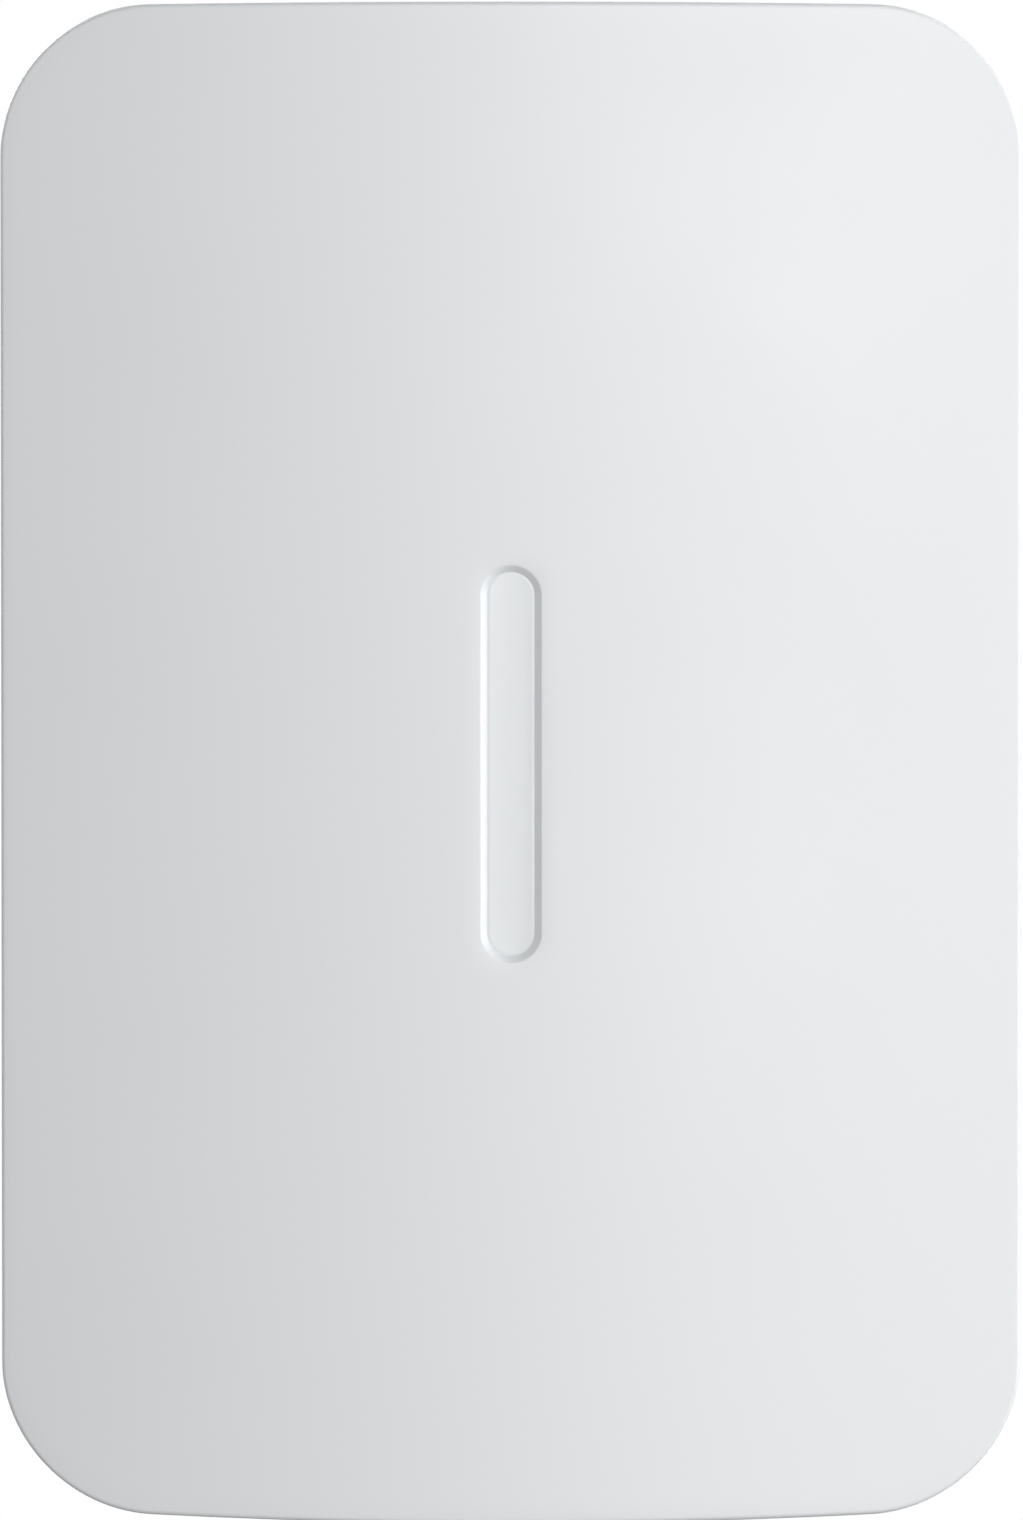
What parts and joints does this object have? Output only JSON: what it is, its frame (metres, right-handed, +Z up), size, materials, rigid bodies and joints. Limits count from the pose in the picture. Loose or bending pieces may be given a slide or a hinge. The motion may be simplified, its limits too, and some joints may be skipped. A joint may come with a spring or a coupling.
{
  "type": "wall battery unit",
  "caption": "Wall-hung home battery: white crowned front cover with a pill-shaped light window, sealed enclosure, finned rear heat sink and hook-on wall bracket.",
  "frame": {"origin": "centre of the bracket's four wall anchors, on the wall plane", "axes": "+Z up, +Y into the wall, so the unit faces -Y; +X is to the right of a person who faces it"},
  "size_m": [0.79, 0.25, 1.179],
  "materials": {
    "cover_white": "satin, smooth moulded white",
    "window_opal": "satin opal diffuser",
    "enclosure_paint": "fine-texture powder coat, light grey",
    "zinc_steel": "zinc plated",
    "bracket_steel": "dark grey powder coat",
    "aluminium": "clear anodised",
    "heat_sink": "dark anodised, matte",
    "rubber": "matte black",
    "dark_plastic": "fine-texture moulding, anthracite",
    "grey_plastic": "fine-texture moulding, light grey",
    "cell_wrap": "blue insulating film",
    "copper": "bare copper",
    "board_green": "solder mask, satin",
    "board_white": "white solder mask",
    "ceramic": "glazed",
    "toggle_red": "satin moulding",
    "cable_jacket": "orange high-voltage jacket"
  },
  "bodies": {
    "wall_bracket": {"wall_bracket": "bracket_steel"},
    "unit": {"light_housing": "dark_plastic", "light_board": "board_white", "cover_brackets": "zinc_steel", "cover_grommets": "rubber", "enclosure_tub": "enclosure_paint", "chamber_bulkhead": "enclosure_paint", "lid_gasket": "rubber", "wiring_gasket": "rubber", "enclosure_lid": "enclosure_paint", "wiring_cover": "enclosure_paint", "lid_screws": "zinc_steel", "rear_screws": "zinc_steel", "pressure_vent": "dark_plastic", "earth_stud": "zinc_steel", "hang_rail": "zinc_steel", "lock_tabs": "zinc_steel", "lock_screws": "zinc_steel", "wall_bumpers": "rubber", "heat_sink": "heat_sink", "heat_sink_gasket": "rubber", "battery_cells": "cell_wrap", "module_end_plates": "aluminium", "module_straps": "zinc_steel", "module_rails": "aluminium", "cell_busbars": "aluminium", "sense_boards": "board_green", "bms_board": "board_green", "contactors": "dark_plastic", "main_fuse": "ceramic", "current_shunt": "copper", "converter_board": "board_green", "power_modules": "dark_plastic", "inductors": "copper", "bus_capacitors": "dark_plastic", "comms_board": "board_green", "data_sockets": "zinc_steel", "terminal_blocks": "grey_plastic", "power_terminals": "grey_plastic", "power_cables": "cable_jacket", "cable_glands": "dark_plastic", "gland_nuts": "dark_plastic", "gland_seals": "rubber", "gland_locknuts": "dark_plastic", "blanking_plugs": "dark_plastic", "switch_pocket": "dark_plastic", "breaker_body": "grey_plastic", "button_body": "dark_plastic", "handle_lugs": "zinc_steel", "handle_pins": "zinc_steel"},
    "front_cover": {"front_cover": "cover_white", "cover_studs": "zinc_steel", "light_window": "window_opal"},
    "breaker_toggle": {"breaker_toggle": "toggle_red"},
    "switch_flap": {"switch_flap": "grey_plastic"},
    "power_button": {"power_button": "grey_plastic"},
    "right_handle": {"right_handle": "zinc_steel", "right_grip": "rubber"},
    "left_handle": {"left_handle": "zinc_steel", "left_grip": "rubber"}
  },
  "joints": [
    {"name": "unit_lift", "type": "slide", "parent": "wall_bracket", "child": "unit", "axis": [0, 0, 1], "range_m": [0, 0.025]},
    {"name": "cover_pull", "type": "slide", "parent": "unit", "child": "front_cover", "axis": [0, -1, 0], "range_m": [0, 0.1]},
    {"name": "flap_swing", "type": "hinge", "parent": "unit", "child": "switch_flap", "pos_m": [0.372, -0.095, 0.2115], "axis": [0, -1, 0], "range_deg": [0, 110]},
    {"name": "toggle_swing", "type": "hinge", "parent": "unit", "child": "breaker_toggle", "pos_m": [0.341, -0.095, 0.1365], "axis": [0, 1, 0], "range_deg": [0, 80]},
    {"name": "button_press", "type": "slide", "parent": "unit", "child": "power_button", "axis": [-1, 0, 0], "range_m": [0, 0.0025], "stiffness_N_per_m": 600},
    {"name": "right_handle_swing", "type": "hinge", "parent": "unit", "child": "right_handle", "pos_m": [0.376, -0.095, 0.401], "axis": [0, -1, 0], "range_deg": [0, 90]},
    {"name": "left_handle_swing", "type": "hinge", "parent": "unit", "child": "left_handle", "pos_m": [-0.376, -0.095, 0.401], "axis": [0, 1, 0], "range_deg": [0, 90]}
  ]
}
